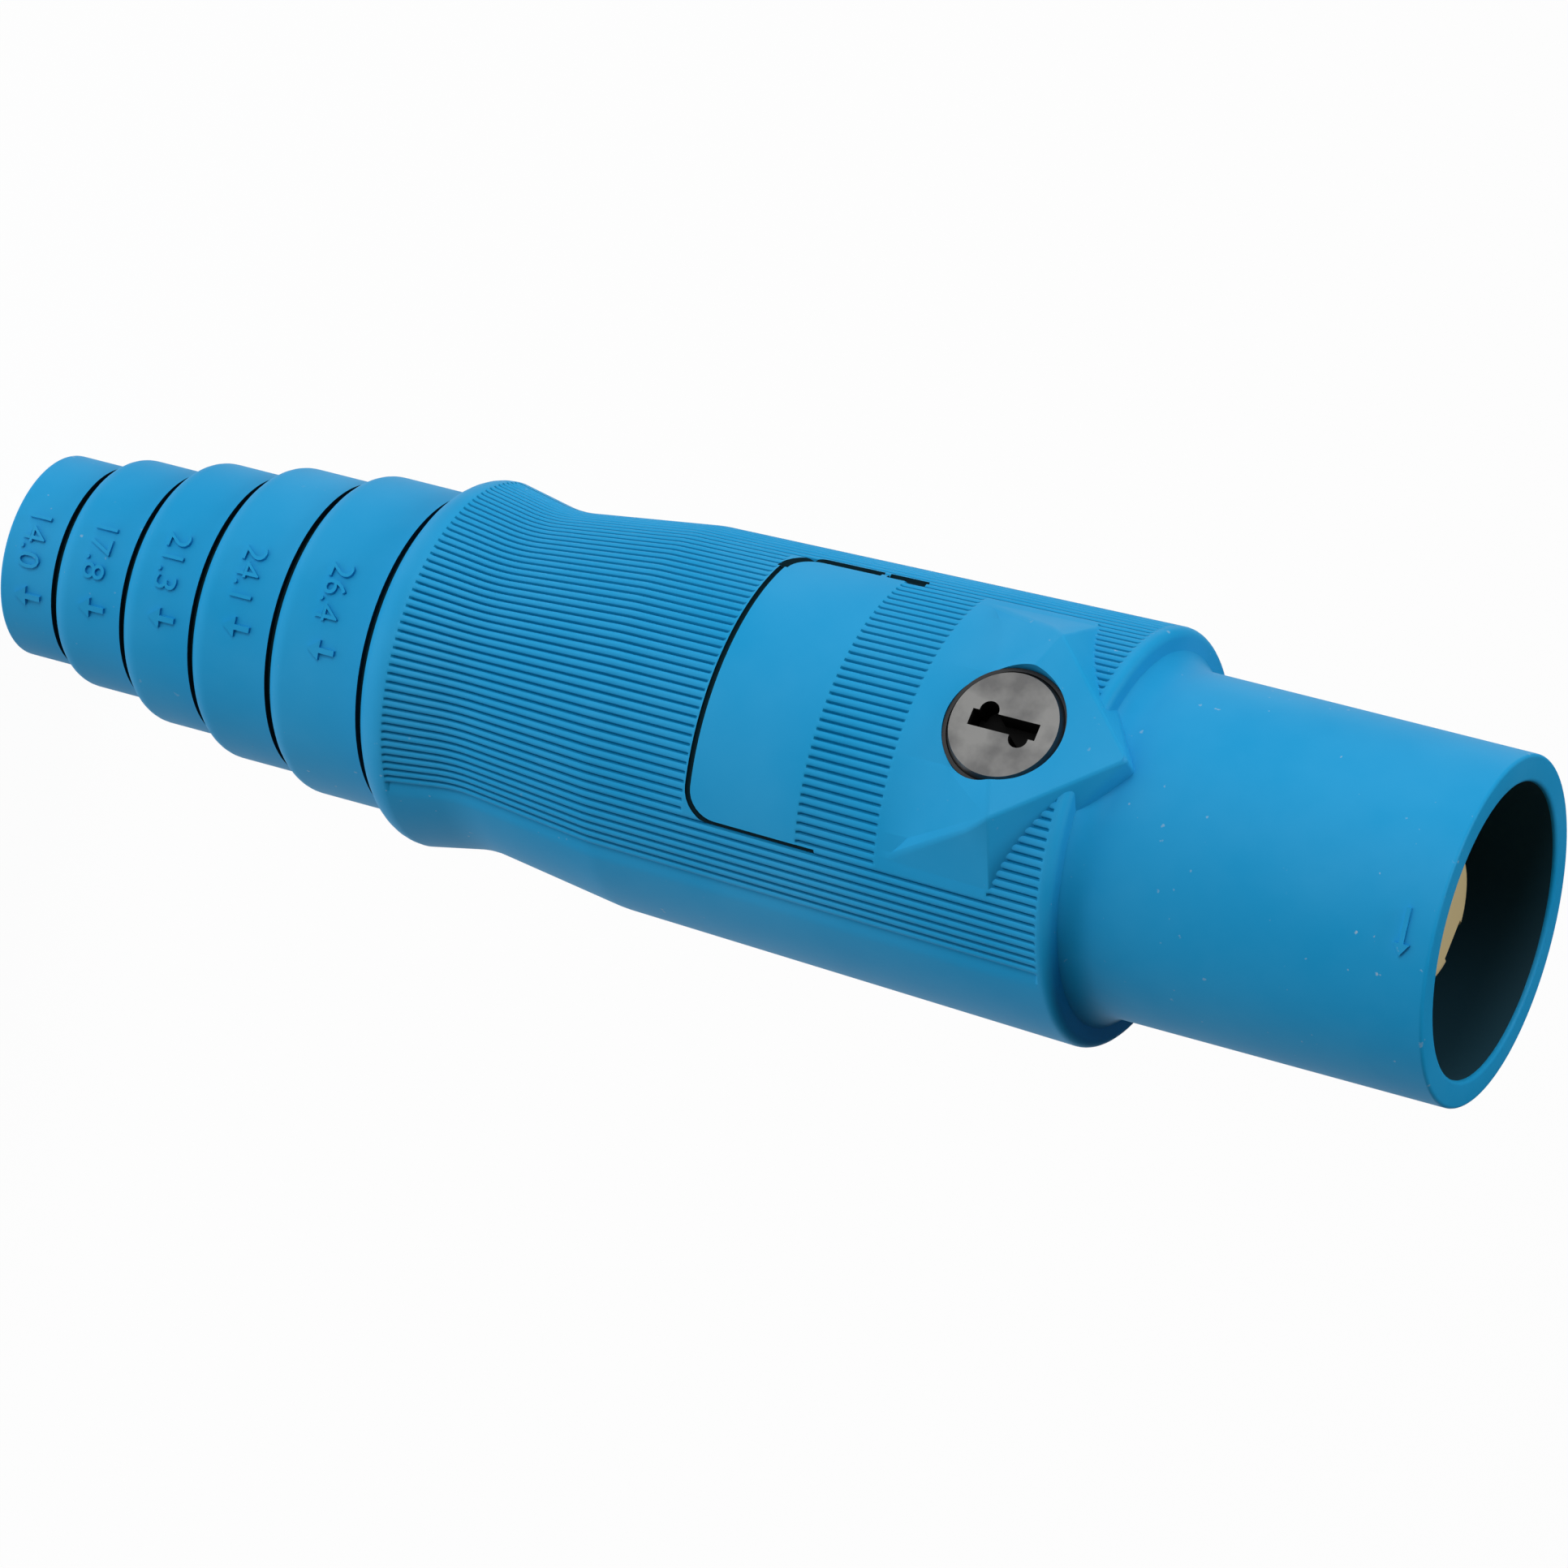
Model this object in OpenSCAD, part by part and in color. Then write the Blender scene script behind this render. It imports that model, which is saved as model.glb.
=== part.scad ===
// Single-pole cam-lock plug: a moulded sleeve with a stepped cable tail, a brass contact
// recessed in the open barrel, and a turn lock that holds the contact in the sleeve.
// The plug stands on its cable end: +Z points out of the mouth, and the lock faces -Y.

/* [Barrel] */
// Outer diameter of the barrel
barrel_d = 38; // [37:0.5:40]
// Length of the barrel in front of the body
barrel_len = 40.6; // [38:0.2:44]
// Inner diameter of the barrel
mouth_bore_d = 32; // [30:0.5:34]
// Distance of the cavity's floor ahead of the body's front face
cavity_ahead = 0.6; // [0.2:0.1:2]
// Rounding of the outer edge of the mouth
mouth_round = 0.4; // [0.3:0.1:1.2]
// Rounding of the inner edge of the mouth
mouth_inner_round = 0.5; // [0.2:0.1:0.8]
// Radius of the fillet between barrel and front face
root_fillet = 3.8; // [2.5:0.1:4.5]
// Width of that fillet across the front face
root_fillet_w = 1.6; // [1:0.1:2.2]

/* [Body] */
// Diameter of the body at its front face
body_front_d = 46; // [45:0.2:48]
// Diameter of the body where the waist begins
body_rear_d = 43.1; // [42.5:0.1:44.5]
// Length of the tapered body behind the front face
body_len = 55.9; // [54:0.5:60]
// Rounding of the front edge of the body
front_round = 1.1; // [0.5:0.1:1.4]
// Diameter of the waist
waist_d = 38.3; // [36.5:0.1:40]
// Distance from the start of the waist to its thinnest place
waist_len = 17.7; // [15:0.1:20]
// Distance from the thinnest place to the rear edge of the collar
collar_len = 12; // [10:0.1:14]
// Blend radius in the waist
waist_blend = 14; // [8:1:20]
// Diameter of the rear collar
collar_d = 41.5; // [40:0.1:43]
// Radius of the round shoulder at the collar's rear edge
collar_round = 4; // [3:0.1:5]

/* [Cable tail] */
// Lengths of the cut-off steps, from the cable end
step_len = [7.7, 10, 10.1, 11, 12.5];
// Outer diameters of the steps, from the cable end
step_d = [23.2, 26.3, 30, 33.4, 36.3];
// Inner diameters of the steps: the cable sizes that they seal on
step_bore_d = [14, 17.8, 21.3, 24.1, 26.4];
// Radius of the round shoulder at the foot of each step
step_round = 2.6; // [2:0.1:4]
// Rounding of the cable end
tail_round = 0.5; // [0.3:0.1:1.6]
// Width of the cutting groove at the foot of each step
cut_groove_w = 0.6; // [0.3:0.1:1]
// Depth of the cutting groove
cut_groove_depth = 0.8; // [0.3:0.1:1.2]

/* [Lock pad] */
// Distance of the lock axis behind the body's front face
lock_behind_front = 9.8; // [9.4:0.1:10.4]
// Distance of the arrow tip ahead of the front face
tip_ahead = 4.2; // [3.5:0.1:6.5]
// Height by which the arrow tip lies below the ridge
tip_drop = 2.8; // [1.5:0.1:3.2]
// Distance of the ridge's corners behind the front face
ridge_behind_front = 7; // [6:0.1:8]
// Height of the ridge's corners above the lock's face
ridge_rise = 1.1; // [0.8:0.1:2]
// Half width of the pad between the ridge's corners
ridge_half_w = 10.9; // [10:0.1:11.5]
// Half width of the pad's highest edge
top_half_w = 6.3; // [5:0.1:8]
// Distance of that edge behind the ridge's corners
top_behind_ridge = 1.6; // [1:0.1:2.4]
// Angle from the lock to the foot of the pad's flanks
flank_angle = 45; // [42:1:48]
// Angles from the lock to the pad's rear corners on the body
rear_angle = [15, 29, 44]; // [12:1:46]
// Distances of those corners behind the ridge
rear_len = [7.3, 8.4, 13.2]; // [6:0.1:13.5]
// Depth of the pad's lower corners under the body's surface
foot_sink = 0.15; // [0.1:0.05:0.4]

/* [Marking panel] */
// Distance of the panel's front end behind the body's front face
panel_behind_front = 27.8; // [26:0.1:30]
// Length of the panel along the plug
panel_len = 15.6; // [12:0.1:18]
// Half angle of the panel around the body
panel_half_angle = 47; // [40:1:50]
// Corner radius of the panel
panel_corner = 3.5; // [2:0.1:5]
// Width of the outline groove
panel_groove_w = 0.6; // [0.3:0.1:1]
// Depth of the outline groove
panel_groove_depth = 0.5; // [0.3:0.1:0.8]

/* [Grip ribs] */
// Angle between neighbouring ribs
rib_pitch = 2.65; // [2.5:0.05:3.2]
// Angle that the groove between two ribs takes
rib_gap = 1.2; // [0.8:0.1:1.6]
// Depth of the grooves between the ribs
rib_depth = 0.3; // [0.2:0.05:0.5]
// Number of grooves on each side of the lock
rib_count = 25; // [22:1:30]
// Number of those grooves that run behind the panel
panel_rib_count = 18; // [18:1:20]
// Number of those grooves in the strip between pad and panel
strip_rib_count = 17; // [12:1:17]
// Distance of the strip's front end behind the front face
strip_behind_front = 20.7; // [19.5:0.1:22]
// Length of the strip
strip_len = 9.4; // [6:0.1:10]
// Smooth land between the grooves and the edges near them
rib_land = 0.3; // [0.2:0.1:1]

/* [Contact] */
// Diameter of the contact pin
pin_d = 15.9; // [15:0.1:16.4]
// Distance of the pin's tip behind the mouth
pin_recess = 6.2; // [4:0.1:8]
// Rounding of the pin's tip
pin_round = 1.7; // [0.8:0.1:2.2]
// Diameter of the contact's body
contact_d = 23; // [22.6:0.1:23.6]
// Length of the contact's body behind its flange
contact_len = 56; // [52:0.5:58]
// Diameter of the conductor socket
socket_d = 15.5; // [14:0.1:16]
// Depth of the conductor socket
socket_depth = 36; // [32:0.5:37]
// Diameter of the contact's flange
flange_d = 27; // [26:0.1:28]
// Thickness of the flange
flange_t = 2.5; // [1.5:0.1:3]
// Width of the key under the flange
key_w = 4; // [3:0.1:5]
// Length of the key along the plug
key_len = 4; // [3:0.1:5]
// Width of the cam slot in the pin
cam_slot_w = 4.6; // [3.5:0.1:5]
// Depth of the cam slot
cam_slot_depth = 2.4; // [1.5:0.1:3]
// Length of the straight part of the cam slot from the tip
cam_slot_len = 14.4; // [12:0.1:14.6]
// Angle through which the cam slot turns
cam_turn = 120; // [60:5:170]

/* [Set screws] */
// Diameter of the set screws
screw_d = 9.5; // [8:0.1:10]
// Length of the set screws
screw_len = 7; // [5:0.1:8]
// Distances of the set screws from the contact's cable end
screw_places = [10, 24];
// Depth of the screw's outer end below the contact's surface
screw_sink = 1.2; // [1.1:0.1:2]
// Hexagon socket of the set screws, across flats
screw_hex = 4.8; // [4:0.1:5]
// Depth of that socket
screw_hex_depth = 3.5; // [2:0.1:4]

/* [Lock cylinder] */
// Diameter of the lock's head
lock_head_d = 12.8; // [12.4:0.1:13]
// Thickness of the head
lock_head_t = 4.2; // [3.8:0.1:4.4]
// Width of the bevel around the face
lock_bevel_w = 0.4; // [0.2:0.1:0.8]
// Depth of that bevel
lock_bevel_t = 0.9; // [0.3:0.1:1.1]
// Diameter of the lock's shaft
shaft_d = 8; // [7.6:0.1:8.4]
// Radius of the half-round tongue on the shaft's end
tongue_r = 3.8; // [3.4:0.1:3.8]
// Depth to which the tongue reaches into the contact
tongue_reach = 1.9; // [1.4:0.1:2]
// Length of the key slot
slot_len = 7.8; // [6.5:0.1:8.2]
// Width of the key slot
slot_w = 1.9; // [1.4:0.1:2.4]
// Depth of the key slot
slot_depth = 3; // [2:0.1:3.2]
// Radius of the two notches beside the slot
notch_r = 1.1; // [0.8:0.1:1.3]
// Distance of the notches from the lock's centre, along the slot
notch_along = 2.1; // [1.5:0.1:2.4]
// Distance of the notches from the lock's centre, across the slot
notch_across = 1.1; // [0.8:0.1:1.3]

/* [Lock fittings] */
// Wall of the bushing around the head
bushing_wall = 0.4; // [0.3:0.05:0.6]
// Distance of the bushing's rim below the lock's face
bushing_drop = 0.7; // [0.2:0.1:0.9]
// Distance of the bushing's inner end above the contact
bushing_gap = 1.6; // [1.5:0.1:1.9]
// Length of the bushing
bushing_len = 9.3; // [8.5:0.1:9.6]
// Projection of the bushing's retaining rib
bushing_rib = 1.1; // [0.6:0.1:1.5]
// Thickness of that rib
bushing_rib_t = 2; // [1.2:0.1:2.4]
// Thickness of the spring washer
washer_t = 0.5; // [0.3:0.1:0.6]
// Thickness of the sealing ring
seal_t = 1; // [0.8:0.1:1.2]
// Diameter of the retaining clip
clip_d = 11.6; // [10.5:0.1:12]
// Thickness of the retaining clip
clip_t = 0.7; // [0.5:0.1:0.8]
// Opening angle of the retaining clip
clip_gap = 110; // [90:5:130]

/* [Fits] */
// Clearance between the contact and the sleeve
contact_clear = 0.1; // [0.05:0.05:0.2]
// Running clearance of the lock in its bushing
lock_clear = 0.05; // [0.03:0.01:0.1]
// Clearance of the moulded-in bushing
bushing_clear = 0.05; // [0.02:0.01:0.1]
// Clearance around the tongue in the contact's pocket
tongue_clear = 0.3; // [0.2:0.05:0.5]
// Clearance of the set screws
screw_clear = 0.05; // [0.02:0.01:0.1]

/* [Hidden] */
$fn = 96;
eps = 0.01;
arc_steps = 6;

barrel_r = barrel_d / 2;
mouth_bore_r = mouth_bore_d / 2;
pin_r = pin_d / 2;
contact_r = contact_d / 2;
contact_bore_r = contact_r + contact_clear;
socket_r = socket_d / 2;

// Heights of the plug's stations above the cable end
tail_z = [for (i = [0:5]) sum_to(step_len, i)];
collar_z = tail_z[5];
waist_z = collar_z + collar_len;
shoulder_z = waist_z + waist_len;
front_z = shoulder_z + body_len;
plug_len = front_z + barrel_len;
cavity_z = front_z + cavity_ahead;
contact_z = cavity_z - contact_len;
pin_tip_z = plug_len - pin_recess;
lock_z = front_z - lock_behind_front;

// Distances of the lock's stations from the plug axis
bushing_foot_h = contact_r + bushing_gap;
bushing_top_h = bushing_foot_h + bushing_len;
lock_face_h = bushing_top_h + bushing_drop;
ridge_h = lock_face_h + ridge_rise;
tip_h = ridge_h - tip_drop;
top_h = ridge_h + top_behind_ridge * tip_drop / (ridge_behind_front + tip_ahead);
head_foot_h = lock_face_h - lock_head_t;

lock_head_r = lock_head_d / 2;
shaft_r = shaft_d / 2;
bushing_bore_r = lock_head_r + lock_clear;
bushing_r = bushing_bore_r + bushing_wall;
shelf_h = head_foot_h - washer_t - 2 * lock_clear;
shaft_foot_h = contact_r + 0.2;
pocket_r = tongue_r + tongue_clear;
pocket_floor_h = contact_r - tongue_reach - tongue_clear;
seal_r = bushing_bore_r - lock_clear - seal_t / 2;
seal_groove_r = seal_r - seal_t / 2 - lock_clear;
seal_h = head_foot_h + (lock_head_t - lock_bevel_t) / 2;
clip_top_h = bushing_foot_h - 0.15;
clip_groove_r = shaft_r - 0.6;

function sum_to(list, n) = n == 0 ? 0 : list[n - 1] + sum_to(list, n - 1);

// Points of an arc about a centre, from one angle to another
function arc(centre, r, a0, a1) = [
    for (i = [0:arc_steps])
    let (a = a0 + (a1 - a0) * i / arc_steps)
    centre + r * [cos(a), sin(a)]
];

// Points of the arc that rounds corner b between a and c
function blend(a, b, c, r) = let (
    u = (a - b) / norm(a - b),
    v = (c - b) / norm(c - b),
    half = acos(u * v) / 2,
    o = b + (u + v) / norm(u + v) * r / sin(half),
    p = b + u * r / tan(half) - o,
    q = b + v * r / tan(half) - o,
    a0 = atan2(p.y, p.x),
    turn = (atan2(q.y, q.x) - a0 + 540) % 360 - 180
) arc(o, r, a0, a0 + turn);

// Outline of a cutting groove and the round shoulder in front of it
function shoulder(r0, r1, z, r) = let (start = acos((r - r1 + r0) / r)) concat(
    [
        [r0, z - cut_groove_w],
        [r0 - cut_groove_depth, z - cut_groove_w],
        [r0 - cut_groove_depth, z]
    ],
    arc([r1 - r, z + r * sin(start)], r, -start, 0)
);

body_front = [body_front_d / 2, front_z - front_round];
body_rear = [body_rear_d / 2, shoulder_z];
waist = [waist_d / 2, waist_z];
collar_rise = (collar_d - step_d[4]) / 2;
collar_top = [collar_d / 2, collar_z + collar_round * sin(acos(1 - collar_rise / collar_round))];

// Radius of the tapered body at a height
function body_r(z) = body_rear.x + (body_front.x - body_rear.x) * (z - body_rear.y) / (body_front.y - body_rear.y);

outer_outline = concat(
    arc([step_d[0] / 2 - tail_round, tail_round], tail_round, -90, 0),
    [for (i = [1:4]) each shoulder(step_d[i - 1] / 2, step_d[i] / 2, tail_z[i], step_round)],
    shoulder(step_d[4] / 2, collar_d / 2, collar_z, collar_round),
    blend(collar_top, waist, body_rear, waist_blend),
    blend(waist, body_rear, body_front, waist_blend),
    arc(body_front - [front_round, 0], front_round, 0, 90),
    [[barrel_r + root_fillet_w, front_z]],
    root_curve(),
    arc([barrel_r - mouth_round, plug_len - mouth_round], mouth_round, 0, 90)
);

// Hollow curve from the front face down onto the barrel
function root_curve() = let (
    start = asin((root_fillet - root_fillet_w) / root_fillet),
    o = [barrel_r + root_fillet, front_z + root_fillet * cos(start)]
) [for (i = [1:arc_steps]) let (a = 270 - start - (90 - start) * i / arc_steps) o + root_fillet * [cos(a), sin(a)]];

inner_outline = concat(
    arc([mouth_bore_r + mouth_inner_round, plug_len - mouth_inner_round], mouth_inner_round, 90, 180),
    [
        [mouth_bore_r, cavity_z],
        [contact_bore_r, cavity_z],
        [contact_bore_r, contact_z - 2],
        [step_bore_d[4] / 2, contact_z - 2]
    ],
    [for (i = [4:-1:1]) each [[step_bore_d[i] / 2, tail_z[i] + 1.5], [step_bore_d[i - 1] / 2, tail_z[i] + 1.5]]],
    [[step_bore_d[0] / 2, 0]]
);

// Places its children with their z axis along the lock's outward axis and y along the plug
module on_lock() {
    translate([0, 0, lock_z])
    rotate([90, 0, 0])
    children();
}

// Disc on the lock's axis between two heights above the plug axis
module lock_disc(r, h0, h1) {
    translate([0, 0, h0])
    cylinder(r = r, h = h1 - h0);
}

// Rounded rectangle about the origin
module rounded_plate(w, h, r) {
    square([w - 2 * r, h], center = true);
    square([w, h - 2 * r], center = true);
    for (x = [-1, 1], y = [-1, 1])
        translate([x * (w / 2 - r), y * (h / 2 - r)])
        circle(r = r, $fn = 48);
}

// Raised arrow around the lock: a sloping nose over the barrel and flanks down to the body
module lock_pad() {
    ridge_z = front_z - ridge_behind_front;
    tip_z = front_z + tip_ahead;
    foot_r = body_r(ridge_z) - foot_sink;
    core_h = barrel_r * 0.75;
    hull() polyhedron(
        points = concat(
            [[0, -tip_h, tip_z], [0, -core_h, tip_z]],
            [for (s = [-1, 1]) [s * ridge_half_w, -ridge_h, ridge_z]],
            [for (s = [-1, 1]) [s * top_half_w, -top_h, ridge_z - top_behind_ridge]],
            [for (s = [-1, 1]) [s * foot_r * sin(flank_angle), -foot_r * cos(flank_angle), ridge_z]],
            [
                for (s = [-1, 1], i = [0:2])
                let (z = ridge_z - rear_len[i], r = body_r(z) - foot_sink)
                [s * r * sin(rear_angle[i]), -r * cos(rear_angle[i]), z]
            ],
            [[0, -core_h, ridge_z - rear_len[2]]]
        ),
        faces = [[0, 1, 2], [3, 4, 5], [6, 7, 8], [9, 10, 11], [12, 13, 14]]
    );
}

// Outline groove of the marking panel, open toward the lock
module panel_groove() {
    panel_z = front_z - panel_behind_front - panel_len;
    mid_r = body_r(panel_z + panel_len / 2);
    panel_w = 2 * mid_r * sin(panel_half_angle);
    intersection() {
        translate([0, 0, panel_z + panel_len / 2 + panel_corner])
        rotate([90, 0, 0])
        linear_extrude(height = body_front.x + 1)
        difference() {
            rounded_plate(panel_w, panel_len + 2 * panel_corner, panel_corner);
            rounded_plate(
                panel_w - 2 * panel_groove_w,
                panel_len + 2 * panel_corner - 2 * panel_groove_w,
                panel_corner - panel_groove_w
            );
        }
        rotate_extrude()
        polygon([
            [body_r(panel_z - 1) - panel_groove_depth, panel_z - 1],
            [body_r(panel_z + panel_len) - panel_groove_depth, panel_z + panel_len],
            [body_front.x + 2, panel_z + panel_len],
            [body_front.x + 2, panel_z - 1]
        ]);
    }
}

// Wedges between two heights that cut grooves along the plug, from one groove's number to another's
module rib_wedges(first, last, z0, z1) {
    reach = body_front.x + 1;
    half_w = reach * tan(rib_gap / 2);
    translate([0, 0, z0])
    linear_extrude(height = z1 - z0)
    for (s = [-1, 1], i = [first:last])
        rotate([0, 0, -90 + s * rib_pitch * (i + 0.5)])
        polygon([[0, 0], [reach, -half_w], [reach, half_w]]);
}

// Grooves between the grip ribs, at one depth below the body's outline
module rib_grooves() {
    rear = collar_top.y + rib_land;
    front = body_front.y - rib_land;
    panel_rear = front_z - panel_behind_front - panel_len - rib_land;
    strip_front = front_z - strip_behind_front;
    intersection() {
        union() {
            rib_wedges(panel_rib_count, rib_count - 1, rear, front);
            rib_wedges(0, panel_rib_count - 1, rear, panel_rear);
            rib_wedges(0, strip_rib_count - 1, strip_front - strip_len, strip_front);
            rib_wedges(0, panel_rib_count - 1, front_z - ridge_behind_front - rib_land, front);
        }
        rotate_extrude()
        polygon(concat(
            [[body_front.x + 2, collar_top.y]],
            [for (p = outer_outline) if (p.y > collar_top.y - eps && p.y < body_front.y + eps) p - [rib_depth, 0]],
            [[body_front.x + 2, body_front.y]]
        ));
    }
}

module insulator_sleeve() {
    color("deepskyblue")
    difference() {
        union() {
            difference() {
                rotate_extrude()
                polygon(concat(outer_outline, inner_outline));
                rib_grooves();
            }
            difference() {
                lock_pad();
                cylinder(r = contact_bore_r, h = plug_len);
                translate([0, 0, front_z - 1])
                cylinder(r = mouth_bore_r + 1, h = barrel_len);
            }
        }
        on_lock() {
            lock_disc(bushing_r + bushing_clear, contact_r - 1, ridge_h + 2);
            lock_disc(
                bushing_r + bushing_rib + bushing_clear,
                bushing_foot_h + 1 - bushing_clear,
                bushing_foot_h + 1 + bushing_rib_t + bushing_clear
            );
        }
        panel_groove();
        translate([-key_w / 2 - contact_clear, contact_r - 1, cavity_z - key_len - contact_clear])
        cube([key_w + 2 * contact_clear, flange_d / 2 - contact_r + 1, key_len + contact_clear + eps]);
    }
}

// Slot that takes the mating cam: straight from the tip, then around the pin
module cam_slot() {
    floor_r = pin_r - cam_slot_depth;
    turn_z = pin_tip_z - cam_slot_len;
    translate([-cam_slot_w / 2, floor_r, turn_z])
    cube([cam_slot_w, pin_r, cam_slot_len + 1]);
    translate([0, 0, turn_z])
    rotate([0, 0, 90])
    rotate_extrude(angle = cam_turn)
    translate([floor_r, 0])
    square([pin_r, cam_slot_w]);
}

module male_contact() {
    color("goldenrod")
    difference() {
        union() {
            rotate_extrude()
            polygon(concat(
                [[0, contact_z], [contact_r - 1, contact_z], [contact_r, contact_z + 1]],
                [[contact_r, cavity_z], [flange_d / 2, cavity_z], [flange_d / 2, cavity_z + flange_t]],
                [[pin_r + 2, cavity_z + flange_t], [pin_r, cavity_z + flange_t + 2]],
                arc([pin_r - pin_round, pin_tip_z - pin_round], pin_round, 0, 90),
                [[0, pin_tip_z]]
            ));
            translate([-key_w / 2, contact_r - 1, cavity_z - key_len])
            cube([key_w, flange_d / 2 - contact_r + 1 - contact_clear - 0.3, key_len + eps]);
        }
        translate([0, 0, contact_z - 1])
        cylinder(r = socket_r, h = socket_depth + 1);
        translate([0, 0, contact_z - eps])
        cylinder(r1 = socket_r + 1, r2 = socket_r - 0.5, h = 1.5);
        cam_slot();
        on_lock() {
            lock_disc(pocket_r, pocket_floor_h, contact_r + 1);
        }
        translate([-tongue_clear, -contact_r - 1, contact_z - 1])
        cube([pocket_r + tongue_clear, contact_r + 1 - pocket_floor_h, lock_z - contact_z + 1]);
        for (place = screw_places)
            translate([0, 0, contact_z + place])
            rotate([-90, 0, 0])
            cylinder(r = screw_d / 2 + screw_clear, h = contact_r + 1);
    }
}

module set_screws() {
    color("dimgray")
    for (place = screw_places)
        translate([0, contact_r - screw_sink, contact_z + place])
        rotate([90, 0, 0])
        difference() {
            union() {
                cylinder(r = screw_d / 2, h = screw_len - 1);
                translate([0, 0, screw_len - 1])
                cylinder(r1 = screw_d / 2, r2 = screw_d / 2 - 1, h = 1);
            }
            translate([0, 0, -eps])
            cylinder(r = screw_hex / 2 / cos(30), h = screw_hex_depth, $fn = 6);
        }
}

module lock_cylinder() {
    color("gray")
    on_lock()
    difference() {
        union() {
            lock_disc(lock_head_r, head_foot_h, lock_face_h - lock_bevel_t);
            translate([0, 0, lock_face_h - lock_bevel_t])
            cylinder(r1 = lock_head_r, r2 = lock_head_r - lock_bevel_w, h = lock_bevel_t);
            lock_disc(shaft_r, shaft_foot_h, head_foot_h + eps);
            intersection() {
                lock_disc(tongue_r, contact_r - tongue_reach, shaft_foot_h + eps);
                translate([-tongue_r, -tongue_r, contact_r - tongue_reach])
                cube([2 * tongue_r, tongue_r, tongue_reach + 1]);
            }
        }
        difference() {
            lock_disc(lock_head_r + 1, seal_h - seal_t / 2 - lock_clear, seal_h + seal_t / 2 + lock_clear);
            lock_disc(seal_groove_r, seal_h - seal_t, seal_h + seal_t);
        }
        difference() {
            lock_disc(shaft_r + 1, clip_top_h - clip_t - lock_clear, clip_top_h + lock_clear);
            lock_disc(clip_groove_r, clip_top_h - clip_t - 1, clip_top_h + 1);
        }
        translate([-slot_w / 2, -slot_len / 2, lock_face_h - slot_depth])
        cube([slot_w, slot_len, slot_depth + 1]);
        for (s = [-1, 1])
            translate([s * notch_across, s * notch_along, 0])
            lock_disc(notch_r, lock_face_h - slot_depth, lock_face_h + 1);
    }
}

module lock_bushing() {
    color("black")
    on_lock()
    difference() {
        union() {
            lock_disc(bushing_r, bushing_foot_h, bushing_top_h);
            lock_disc(bushing_r + bushing_rib, bushing_foot_h + 1, bushing_foot_h + 1 + bushing_rib_t);
        }
        lock_disc(shaft_r + lock_clear, bushing_foot_h - 1, bushing_top_h);
        lock_disc(bushing_bore_r, shelf_h, bushing_top_h + 1);
    }
}

module spring_washer() {
    color("silver")
    on_lock()
    difference() {
        lock_disc(lock_head_r - 0.3, shelf_h + lock_clear, shelf_h + lock_clear + washer_t);
        lock_disc(shaft_r + 0.3, shelf_h - 1, head_foot_h + 1);
    }
}

module seal_ring() {
    color("darkslategray")
    on_lock()
    translate([0, 0, seal_h])
    rotate_extrude()
    translate([seal_r, 0])
    circle(r = seal_t / 2, $fn = 24);
}

module retaining_clip() {
    color("silver")
    on_lock()
    translate([0, 0, clip_top_h - clip_t])
    rotate([0, 0, -90 + clip_gap / 2])
    rotate_extrude(angle = 360 - clip_gap)
    translate([clip_groove_r + lock_clear, 0])
    square([clip_d / 2 - clip_groove_r - lock_clear, clip_t]);
}

insulator_sleeve();
male_contact();
set_screws();
lock_cylinder();
lock_bushing();
spring_washer();
seal_ring();
retaining_clip();
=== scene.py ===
import math

import bmesh
import bpy
from mathutils import Matrix, Vector


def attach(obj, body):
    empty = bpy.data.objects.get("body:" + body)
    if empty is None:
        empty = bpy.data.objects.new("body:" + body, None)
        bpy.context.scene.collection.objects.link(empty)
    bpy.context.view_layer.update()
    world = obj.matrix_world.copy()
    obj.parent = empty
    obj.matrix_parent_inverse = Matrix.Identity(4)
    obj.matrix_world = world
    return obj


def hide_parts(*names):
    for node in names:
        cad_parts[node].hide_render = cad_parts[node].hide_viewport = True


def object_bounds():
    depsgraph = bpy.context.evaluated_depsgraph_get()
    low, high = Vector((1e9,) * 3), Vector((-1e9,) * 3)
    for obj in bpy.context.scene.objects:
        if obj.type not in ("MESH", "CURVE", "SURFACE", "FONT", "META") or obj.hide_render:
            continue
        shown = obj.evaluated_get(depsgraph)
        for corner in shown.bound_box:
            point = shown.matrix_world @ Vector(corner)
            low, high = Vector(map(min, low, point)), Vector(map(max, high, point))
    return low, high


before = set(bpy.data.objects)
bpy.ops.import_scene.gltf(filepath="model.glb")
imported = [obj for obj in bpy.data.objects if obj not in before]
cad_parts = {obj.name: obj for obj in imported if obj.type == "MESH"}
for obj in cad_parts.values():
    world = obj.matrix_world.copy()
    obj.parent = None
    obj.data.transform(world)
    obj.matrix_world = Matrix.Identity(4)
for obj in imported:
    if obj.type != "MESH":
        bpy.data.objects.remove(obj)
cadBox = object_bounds()
mm = 0.001  # sizes below are in millimetres, Blender's own are in metres
same = 1e-6  # lengths closer than this count as equal
print("frame loaded:", len(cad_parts), "nodes")

camera = {
    "place": (0.24706, -0.67882, 0.41783),  # metres in the plug's frame
    "right": (-0.37359, 0.28535, 0.88261),
    "up": (-0.87515, -0.42380, -0.23343),
    "focalPixels": 9000,
    "imagePixels": 1932,
    "sensor": 36,
}


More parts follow.
